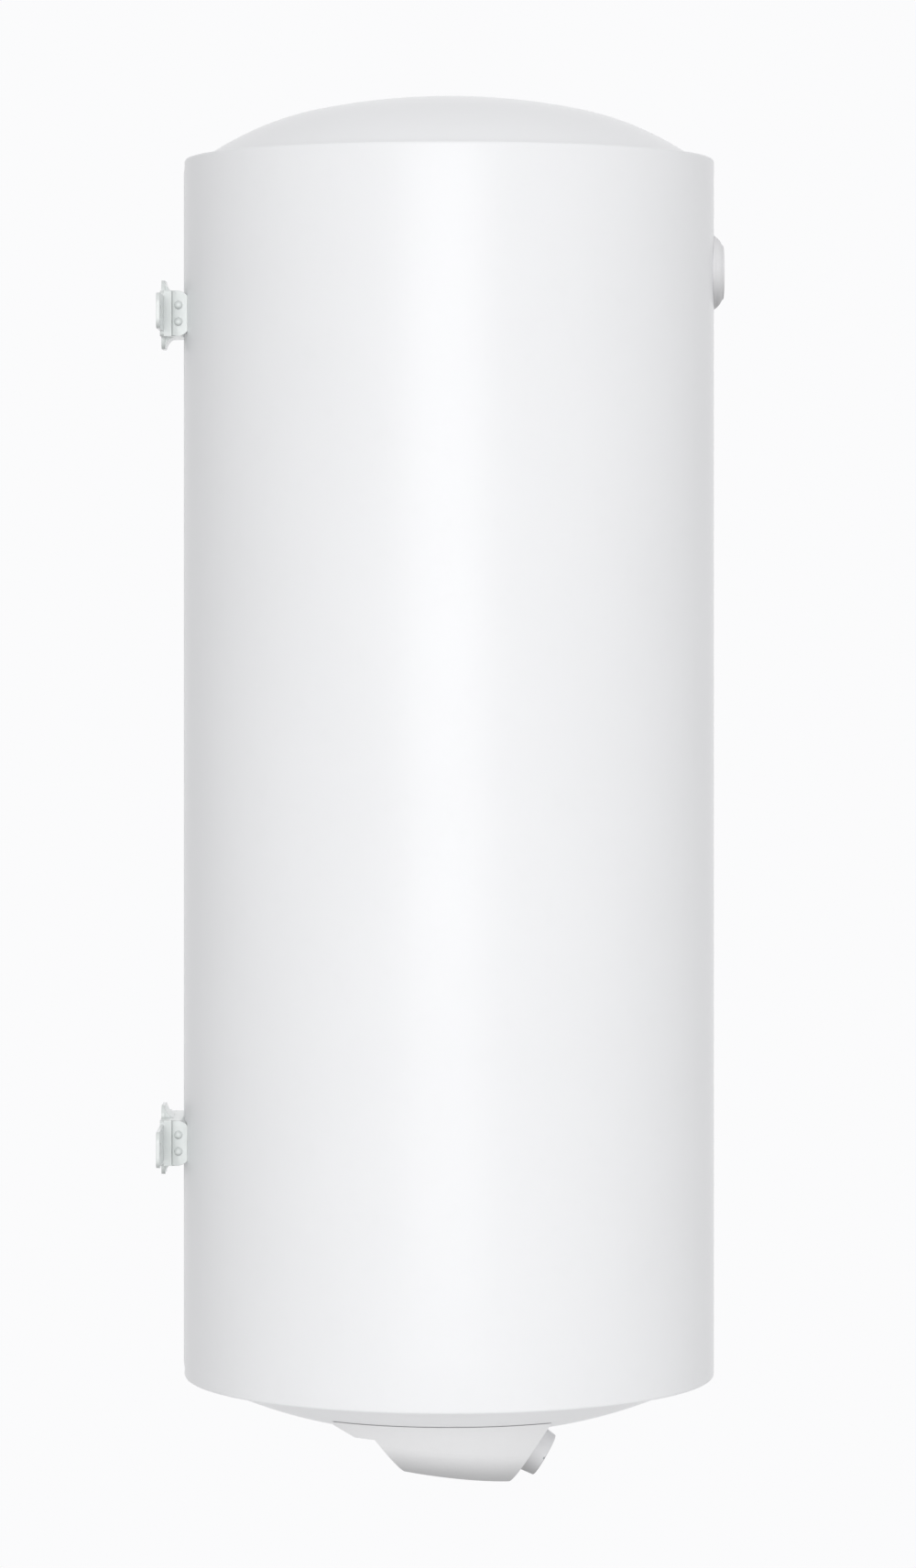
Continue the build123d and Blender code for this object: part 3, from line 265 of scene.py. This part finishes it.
def lathe(profile, origin, direction, segments):
    """A closed form from a closed loop of (radius, height) points turned about a line through origin."""
    direction = Vector(direction).normalized()
    side = direction.orthogonal().normalized()
    other = direction.cross(side)
    form = bmesh.new()
    rings = []
    for radius, height in profile:
        centre = Vector(origin) + direction * height
        if radius < 1e-7:
            rings.append([form.verts.new(centre)])
            continue
        ring = []
        for i in range(segments):
            turn = 2 * math.pi * i / segments
            spoke = side * math.cos(turn) + other * math.sin(turn)
            ring.append(form.verts.new(centre + spoke * radius))
        rings.append(ring)
    for a, b in zip(rings, rings[1:] + rings[:1]):
        if len(a) == 1 and len(b) == 1:
            continue
        for i in range(segments):
            j = (i + 1) % segments
            corners = [a[0] if len(a) == 1 else a[i], b[0] if len(b) == 1 else b[i]]
            if len(b) > 1:
                corners.append(b[j])
            if len(a) > 1:
                corners.append(a[j])
            form.faces.new(corners)
    return form


def arc(centre, radius, start, end, steps):
    """Points of an arc in the (radius, height) plane, angles in degrees."""
    points = []
    for i in range(steps + 1):
        a = math.radians(start + (end - start) * i / steps)
        points.append((centre[0] + radius * math.cos(a), centre[1] + radius * math.sin(a)))
    return points


# ---------------------------------------------------------------- casing and caps
def make_casing():
    """Rolled steel drum with hemmed rims."""
    r = casing_r
    hem = 2.6 * MM
    lip = 11 * MM
    wall = 0.8 * MM
    outside = [(r - lip, rim_bottom + wall), (r - lip, rim_bottom)]
    outside += arc((r - hem, rim_bottom + hem), hem, -90, 0, 6)
    rows = 24
    span = rim_top - rim_bottom - 2 * hem
    outside += [(r, rim_bottom + hem + span * i / rows) for i in range(1, rows)]
    outside += arc((r - hem, rim_top - hem), hem, 0, 90, 6)
    outside += [(r - lip, rim_top), (r - lip, rim_top - wall)]
    inner = hem - wall
    inside = arc((r - hem, rim_top - hem), inner, 90, 0, 4)
    inside += arc((r - hem, rim_bottom + hem), inner, 0, -90, 4)
    form = lathe(outside + inside, axis, (0, 0, 1), segments=256)
    return finish_piece(form, "casing_drum", "heater", "white_enamel", ["outer_casing"])


def cap_profile(rim, apex, up):
    """Half profile of a domed cap from its brim to its middle, outside then inside."""
    sheet = 0.8 * MM
    brim_r = casing_r - 3.8 * MM
    dome_r = 211 * MM
    crown_zone, crown_drop = 120 * MM, 13 * MM
    crown_r = (crown_zone**2 + crown_drop**2) / (2 * crown_drop)
    seat = rim - up * sheet
    rise = abs(apex - seat)
    points = [(brim_r, seat)]
    slope = crown_zone / math.sqrt(crown_r**2 - crown_zone**2)
    run = dome_r - crown_zone
    fall = rise - crown_drop
    shoulder_steps, crown_steps = 26, 24
    for i in range(shoulder_steps + 1):
        t = i / shoulder_steps
        radius = dome_r - run * t
        reach = run * (1 - t)
        bend = (fall - slope * run) / run**2
        height = rise - crown_drop - slope * reach - bend * reach**2
        points.append((radius, seat + up * max(0.0, height)))
    for i in range(1, crown_steps + 1):
        radius = crown_zone * (1 - i / crown_steps)
        height = rise - crown_r + math.sqrt(crown_r**2 - radius**2)
        points.append((radius, seat + up * height))
    inner = [(max(0.0, x), z - up * sheet) for x, z in reversed(points)]
    return points + inner


def make_caps():
    """Pressed domed ends, plain all over: the bottom one has none of the CAD cap's openings."""
    top = lathe(cap_profile(rim_top, top_apex, 1), axis, (0, 0, 1), segments=192)
    finish_piece(top, "cap_top", "heater", "white_enamel", ["top_cap"], smooth_angle=24)
    bottom = lathe(cap_profile(rim_bottom, bottom_apex, -1), axis, (0, 0, 1), segments=192)
    finish_piece(bottom, "cap_bottom", "heater", "white_enamel", ["bottom_cap"], smooth_angle=24)


def make_seam():
    """Lock seam up the back of the drum: a folded ridge with tapering ends."""
    ridge = bmesh.new()
    half_width, height, sunk = 5 * MM, 0.7 * MM, 0.1 * MM
    section = [(-half_width, 0), (-half_width + height, height), (half_width - height, height),
               (half_width, 0), (half_width, -height), (-half_width, -height)]
    rings = []
    for z, grow in ((rim_bottom + 6 * MM, 0.2), (rim_bottom + 12 * MM, 1), (rim_top - 12 * MM, 1),
                    (rim_top - 6 * MM, 0.2)):
        rings.append([ridge.verts.new((x, axis.y + casing_r + y * grow - sunk, z))
                      for x, y in section])
    for low, high in zip(rings, rings[1:]):
        for i in range(len(section)):
            j = (i + 1) % len(section)
            ridge.faces.new((low[i], low[j], high[j], high[i]))
    ridge.faces.new(rings[0])
    ridge.faces.new(rings[-1])
    return finish_piece(ridge, "casing_seam", "heater", "white_enamel")


make_casing()
make_caps()
make_seam()


# ---------------------------------------------------------------- pipes
def threaded_rows(thread_r, start, end, pitch, depth, rows_per_pitch=8):
    """Rows of (height, radius, sweep) for a helical thread whose phase turns with the angle."""
    count = max(2, int((end - start) / pitch * rows_per_pitch))
    rows = []
    for i in range(count + 1):
        height = start + (end - start) * i / count
        fade = min(1.0, i / rows_per_pitch, (count - i) / rows_per_pitch)
        rows.append((height, thread_r, depth * fade, pitch))
    return rows


def make_pipe(name, node):
    """Galvanised pipe end with a real helical thread, replacing the plain CAD pipe."""
    low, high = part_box(node)
    x = (low.x + high.x) / 2
    y = (low.y + high.y) / 2
    major = (high.x - low.x) / 2
    bore = 7.5 * MM
    lead_in, length, runout, root = 1.2 * MM, 15 * MM, 2 * MM, 9.3 * MM
    pitch, depth = 1.814 * MM, 1.0 * MM
    segments = 64
    rows = [(0.0, bore, 0, 1), (0.0, major - lead_in, 0, 1), (lead_in * 0.6, major - 0.6 * MM, 0, 1)]
    rows += threaded_rows(major, lead_in, lead_in + length, pitch, depth)
    top = lead_in + length
    rows += [(top + 0.1 * MM, root, 0, 1), (top + runout, root, 0, 1),
             (top + runout + 0.2 * MM, major, 0, 1), (high.z - low.z, major, 0, 1),
             (high.z - low.z, bore, 0, 1)]
    tube = bmesh.new()
    rings = []
    for height, radius, cut, step in rows:
        ring = []
        for i in range(segments):
            turn = 2 * math.pi * i / segments
            wave = 0.5 - 0.5 * math.cos(2 * math.pi * (height / step - i / segments)) if cut else 0.0
            r = radius - cut * wave
            ring.append(tube.verts.new((x + r * math.cos(turn), y + r * math.sin(turn), low.z + height)))
        rings.append(ring)
    for a, b in zip(rings, rings[1:] + rings[:1]):
        for i in range(segments):
            j = (i + 1) % segments
            tube.faces.new((a[i], a[j], b[j], b[i]))
    finish_piece(tube, name, "heater", "steel", [node], smooth_angle=50)


make_pipe("cold_pipe_threaded", "cold_inlet_pipe")
make_pipe("hot_pipe_threaded", "hot_outlet_pipe")


# ---------------------------------------------------------------- tank brackets
def extruded(points, start, end, round_over=0.0):
    """A prism from (y, z) points swept along x, with its two ends rounded over."""
    form = bmesh.new()
    loops = [[form.verts.new((x, y, z)) for y, z in points] for x in (start, end)]
    for i in range(len(points)):
        j = (i + 1) % len(points)
        form.faces.new((loops[0][i], loops[0][j], loops[1][j], loops[1][i]))
    ends = [form.faces.new(loop) for loop in loops]
    if round_over:
        rims = list({edge for face in ends for edge in face.edges})
        bmesh.ops.bevel(form, geom=rims, offset=round_over, segments=4, profile=0.5, affect="EDGES")
    return form


def carved(*forms):
    """The first form less all the others, as one bmesh."""
    parts = []
    for form in forms:
        mesh = bpy.data.meshes.new("carving")
        bmesh.ops.recalc_face_normals(form, faces=form.faces)
        form.to_mesh(mesh)
        form.free()
        part = bpy.data.objects.new("carving", mesh)
        bpy.context.scene.collection.objects.link(part)
        parts.append(part)
    for cutter in parts[1:]:
        cut = parts[0].modifiers.new("cut", "BOOLEAN")
        cut.operation = "DIFFERENCE"
        cut.solver = "EXACT"
        cut.object = cutter
    bpy.context.view_layer.update()
    result = bmesh.new()
    result.from_mesh(parts[0].evaluated_get(bpy.context.evaluated_depsgraph_get()).to_mesh())
    for part in parts:
        bpy.data.objects.remove(part)
    return result


def make_tank_bracket(level):
    """Pressed bracket tray with broad corners where it meets the drum."""
    low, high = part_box(level + "_tank_bracket")
    middle = (low.z + high.z) / 2
    half = (high.z - low.z) / 2
    sheet, corner, depth = 3 * MM, 12 * MM, 16 * MM
    turn_y = high.y - depth + corner
    points = [(high.y, middle + half)]
    points += [(turn_y + y, middle + half - corner + z) for y, z in arc((0, 0), corner, 90, 180, 10)]
    points += [(turn_y + y, middle - half + corner + z) for y, z in arc((0, 0), corner, 180, 270, 10)]
    points += [(high.y, middle - half)]
    tray = extruded(points, low.x, high.x, 1.6 * MM)
    reach = high.y - 2 * depth
    inner = half - sheet
    pocket = extruded([(high.y - sheet, middle + inner), (reach, middle + inner),
                       (reach, middle - inner), (high.y - sheet, middle - inner)],
                      low.x + sheet, high.x - sheet)
    margin = 20 * MM
    drum = lathe([(0, low.z - margin), (casing_r, low.z - margin), (casing_r, high.z + margin),
                  (0, high.z + margin)], axis, (0, 0, 1), segments=256)
    finish_piece(carved(tray, pocket, drum), level + "_bracket_pressing", "heater",
                 "bracket_enamel", [level + "_tank_bracket"], smooth_angle=40)


for level in ("upper", "lower"):
    make_tank_bracket(level)
    # The rivets take the bracket paint, and with it its painted shade on faces that look down.
    nodes[level + "_bracket_rivets"].data.materials[0] = materials["bracket_enamel"]


# ---------------------------------------------------------------- thermometer
def make_bezel():
    """Moulded bezel: soft shoulder, flat outer ring and a funnel down to the window."""
    base_r = (bezel_high.x - bezel_low.x) / 2
    face_r, window_r, inside_r = 22.5 * MM, 18 * MM, 20.3 * MM
    clearance = 0.05 * MM
    front = axis.y - gauge_front
    lens_front = axis.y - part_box("thermometer_lens")[0].y
    back = axis.y - bezel_high.y
    profile = [(inside_r, back)]
    rows = 7
    sag = casing_r - math.sqrt(casing_r**2 - base_r**2)
    profile += [(base_r - 0.3 * MM, back), (base_r, casing_r - sag + 1.0 * MM)]
    profile += [(base_r - 0.6 * MM, casing_r - sag + 2.4 * MM)]
    start = Vector((base_r - 1.4 * MM, casing_r + 0.6 * MM))
    stop = Vector((face_r + 1.2 * MM, front - 1.3 * MM))
    for i in range(rows + 1):
        t = i / rows
        bulge = 0.9 * MM * math.sin(math.pi * t)
        point = start.lerp(stop, t)
        profile.append((point.x + bulge * 0.6, point.y + bulge * 0.6))
    profile += arc((face_r - 0.6 * MM, front - 1.4 * MM), 1.4 * MM, 25, 90, 5)
    profile += arc((window_r + 1.0 * MM, front - 0.5 * MM), 0.5 * MM, 90, 160, 4)
    profile += [(window_r, lens_front + clearance), (inside_r, lens_front + clearance)]
    ring = lathe(profile, (0, axis.y, gauge_z), (0, -1, 0), segments=128)
    lift = 0.02 * MM
    for vert in ring.verts:
        dx = vert.co.x
        skin_y = axis.y - math.sqrt(casing_r**2 - dx**2) - lift
        if vert.co.y > skin_y and math.hypot(dx, vert.co.z - gauge_z) > inside_r + 0.2 * MM:
            vert.co.y = skin_y
    # The bezel takes the white plastic copy with stronger painted shade on faces that look down.
    finish_piece(ring, "gauge_bezel", "heater", "white_plastic", ["thermometer_bezel"], smooth_angle=40,
                 material=painted_shade_plastic)


def add_bar(form, centre, along, across, up, length, width, thickness):
    """Append a small box to a bmesh from its centre and three directions."""
    corners = []
    for a in (-0.5, 0.5):
        for b in (-0.5, 0.5):
            for c in (-0.5, 0.5):
                place = centre + along * (a * length) + across * (b * width) + up * (c * thickness)
                corners.append(form.verts.new(place))
    for face in ((0, 1, 3, 2), (4, 6, 7, 5), (0, 4, 5, 1), (2, 3, 7, 6), (0, 2, 6, 4), (1, 5, 7, 3)):
        form.faces.new([corners[i] for i in face])


def printed(name, body, slot, colour, form):
    """A thin printed mark with its own ink."""
    ink = surface(name + "_ink", colour, 0.5, mottle=0.02, grain=900, bump=0.02)
    return finish_piece(form, name, body, slot, material=ink)


dial_start, dial_sweep = 210, 240


def dial_turn(share):
    """Angle on the dial, in radians, at a share of the scale from cold to hot."""
    return math.radians(dial_start - dial_sweep * share)


def make_dial_print():
    """Tick marks, figures, a cold arc and a hot arc printed on the thermometer's dial."""
    plane_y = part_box("thermometer_dial")[0].y - 0.04 * MM
    tick_r, band_r, figure_r = 16.6 * MM, 17.6 * MM, 11.6 * MM
    tick_count, band_steps = 24, 24
    figures = ("20", "40", "60", "80")
    ink = (0.02, 0.02, 0.025)
    centre = Vector((0, plane_y, gauge_z))
    out = Vector((0, -1, 0))
    ticks = bmesh.new()
    for i in range(tick_count + 1):
        turn = dial_turn(i / tick_count)
        spoke = Vector((math.cos(turn), 0, math.sin(turn)))
        across = Vector((-math.sin(turn), 0, math.cos(turn)))
        major = i % 4 == 0
        length = (2.4 if major else 1.3) * MM
        add_bar(ticks, centre + spoke * (tick_r - length / 2), spoke, across, out,
                length, (0.42 if major else 0.24) * MM, 0.06 * MM)
    printed("gauge_ticks", "heater", "dial_white", ink, ticks)
    bands = (
        ("gauge_cold_arc", 0.0, 0.42, (0.05, 0.22, 0.62)),
        ("gauge_hot_arc", 0.58, 1.0, (0.7, 0.04, 0.03)),
    )
    for name, begin, end, colour in bands:
        band = bmesh.new()
        rows = []
        for i in range(band_steps + 1):
            turn = dial_turn(begin + (end - begin) * i / band_steps)
            towards_middle = i / band_steps if begin == 0.0 else 1 - i / band_steps
            width = (1.3 - 0.9 * towards_middle) * MM
            row = []
            for radius in (band_r - width, band_r):
                for depth in (0.0, 0.05 * MM):
                    row.append(band.verts.new(centre + Vector((radius * math.cos(turn), -depth,
                                                               radius * math.sin(turn)))))
            rows.append(row)
        for a, b in zip(rows, rows[1:]):
            for i, j in ((0, 1), (1, 3), (3, 2), (2, 0)):
                band.faces.new((a[i], a[j], b[j], b[i]))
        band.faces.new((rows[0][0], rows[0][1], rows[0][3], rows[0][2]))
        band.faces.new((rows[-1][0], rows[-1][1], rows[-1][3], rows[-1][2]))
        printed(name, "heater", "dial_white", colour, band)
    for i, figure in enumerate(figures):
        turn = dial_turn((i + 0.5) / len(figures))
        text = bpy.data.curves.new("figure_" + figure, "FONT")
        text.body = figure
        text.size = 3.6 * MM
        text.align_x = "CENTER"
        text.align_y = "CENTER"
        text.extrude = 0.03 * MM
        holder = bpy.data.objects.new("figure_" + figure, text)
        holder.location = (figure_r * math.cos(turn), plane_y - text.extrude,
                           gauge_z + figure_r * math.sin(turn))
        holder.rotation_euler = (math.radians(90), 0, 0)
        bpy.context.scene.collection.objects.link(holder)
        bpy.context.view_layer.update()
        depsgraph = bpy.context.evaluated_depsgraph_get()
        form = bmesh.new()
        form.from_mesh(holder.evaluated_get(depsgraph).to_mesh())
        form.transform(holder.matrix_world)
        bpy.data.objects.remove(holder)
        printed("dial_figure_" + figure, "heater", "dial_white", ink, form)


make_bezel()
make_dial_print()


# ---------------------------------------------------------------- knob surround
def make_knob_scale():
    """Ring of raised dots on the cover around the knob, growing from cool to hot."""
    out = knob_out
    left = Vector((-1, 0, 0))
    up = out.cross(left).normalized()
    if up.z < 0:
        up = -up
    dots = bmesh.new()
    count, sides = 9, 16
    scale_r, sweep, lowest = 27.0 * MM, 270, -20 * MM
    for i in range(count):
        turn = math.radians(sweep * i / (count - 1))
        spoke = left * math.cos(turn) + up * math.sin(turn)
        radius = (0.45 + 0.1 * i) * MM
        centre = knob_foot + spoke * scale_r
        if (centre - knob_foot).dot(up) < lowest:
            continue
        side = out.orthogonal().normalized()
        other = out.cross(side)
        levels = []
        for height, scale in ((-0.3 * MM, 1.0), (0.1 * MM, 1.0), (0.22 * MM, 0.7)):
            ring = []
            for k in range(sides):
                a = 2 * math.pi * k / sides
                spread = (side * math.cos(a) + other * math.sin(a)) * radius * scale
                ring.append(dots.verts.new(centre + out * height + spread))
            levels.append(ring)
        for a, b in zip(levels, levels[1:]):
            for k in range(sides):
                j = (k + 1) % sides
                dots.faces.new((a[k], a[j], b[j], b[k]))
        dots.faces.new(levels[-1])
        dots.faces.new(levels[0])
    printed("knob_scale_dots", "heater", "grey_plastic", (0.12, 0.12, 0.13), dots)


make_knob_scale()


# ---------------------------------------------------------------- studio
# Strength of the surroundings: the same all round, more above and below, a lobe at the heater's +X side,
# and a share that goes with Y, where a negative one makes the front (-Y) lighter than the wall side.
sky_level, sky_poles, sky_back, sky_front = 0.53, 0.36, 0.8, -0.06
sky_seen = 0.965
key_power = 166
key_place = (-6.5, axis.y + 0.2, 0.25)
key_size = (3.8, 3.4)
floor_r, floor_drop = 2.6, 0.95


def make_studio():
    """Pale surroundings, a pale floor well below the heater and one large soft light."""
    scene = bpy.context.scene
    scene.view_settings.view_transform = "Standard"
    world = bpy.data.worlds.new("studio")
    scene.world = world
    world.use_nodes = True
    tree = world.node_tree
    back = tree.nodes["Background"]
    path = tree.nodes.new("ShaderNodeLightPath")
    place = tree.nodes.new("ShaderNodeTexCoord")
    split = tree.nodes.new("ShaderNodeSeparateXYZ")
    tree.links.new(place.outputs["Generated"], split.inputs[0])

    def sum_of(terms):
        """Add weighted node outputs and a constant."""
        total = None
        for output, weight in terms:
            step = tree.nodes.new("ShaderNodeMath")
            step.operation = "MULTIPLY_ADD"
            if output is None:
                step.inputs[0].default_value = 1.0
            else:
                tree.links.new(output, step.inputs[0])
            step.inputs[1].default_value = weight
            if total is None:
                step.inputs[2].default_value = 0.0
            else:
                tree.links.new(total, step.inputs[2])
            total = step.outputs[0]
        return total

    behind = tree.nodes.new("ShaderNodeMath")
    behind.operation = "MAXIMUM"
    tree.links.new(split.outputs["X"], behind.inputs[0])
    behind.inputs[1].default_value = 0.0
    lobe = tree.nodes.new("ShaderNodeMath")
    lobe.operation = "POWER"
    tree.links.new(behind.outputs[0], lobe.inputs[0])
    lobe.inputs[1].default_value = 8.0
    height = tree.nodes.new("ShaderNodeMath")
    height.operation = "MULTIPLY"
    tree.links.new(split.outputs["Z"], height.inputs[0])
    tree.links.new(split.outputs["Z"], height.inputs[1])
    field = sum_of([(None, sky_level), (height.outputs[0], sky_poles), (lobe.outputs[0], sky_back),
                    (split.outputs["Y"], sky_front)])
    choose = tree.nodes.new("ShaderNodeMix")
    tree.links.new(path.outputs["Is Camera Ray"], choose.inputs[0])
    tree.links.new(field, choose.inputs[2])
    choose.inputs[3].default_value = sky_seen
    back.inputs["Color"].default_value = (1.0, 1.0, 1.008, 1)
    tree.links.new(choose.outputs[0], back.inputs["Strength"])

    floor_form = bmesh.new()
    bmesh.ops.create_circle(floor_form, cap_ends=True, segments=96, radius=floor_r)
    mesh = bpy.data.meshes.new("floor")
    floor_form.to_mesh(mesh)
    floor_form.free()
    floor = bpy.data.objects.new("floor", mesh)
    scene.collection.objects.link(floor)
    floor.location = (0, axis.y, rim_bottom - floor_drop)
    mesh.materials.append(surface("floor_paint", (0.86, 0.86, 0.86), 0.7, mottle=0.01, grain=60,
                                  bump=0.05))

    middle = Vector((0, axis.y, (rim_top + rim_bottom) / 2))
    lamp = bpy.data.lights.new("key", "AREA")
    lamp.shape = "RECTANGLE"
    lamp.size, lamp.size_y = key_size
    lamp.energy = key_power
    lamp.specular_factor = 0.1
    holder = bpy.data.objects.new("key", lamp)
    scene.collection.objects.link(holder)
    holder.location = key_place
    heading = middle - Vector(key_place)
    holder.rotation_euler = heading.to_track_quat("-Z", "Y").to_euler()


make_studio()
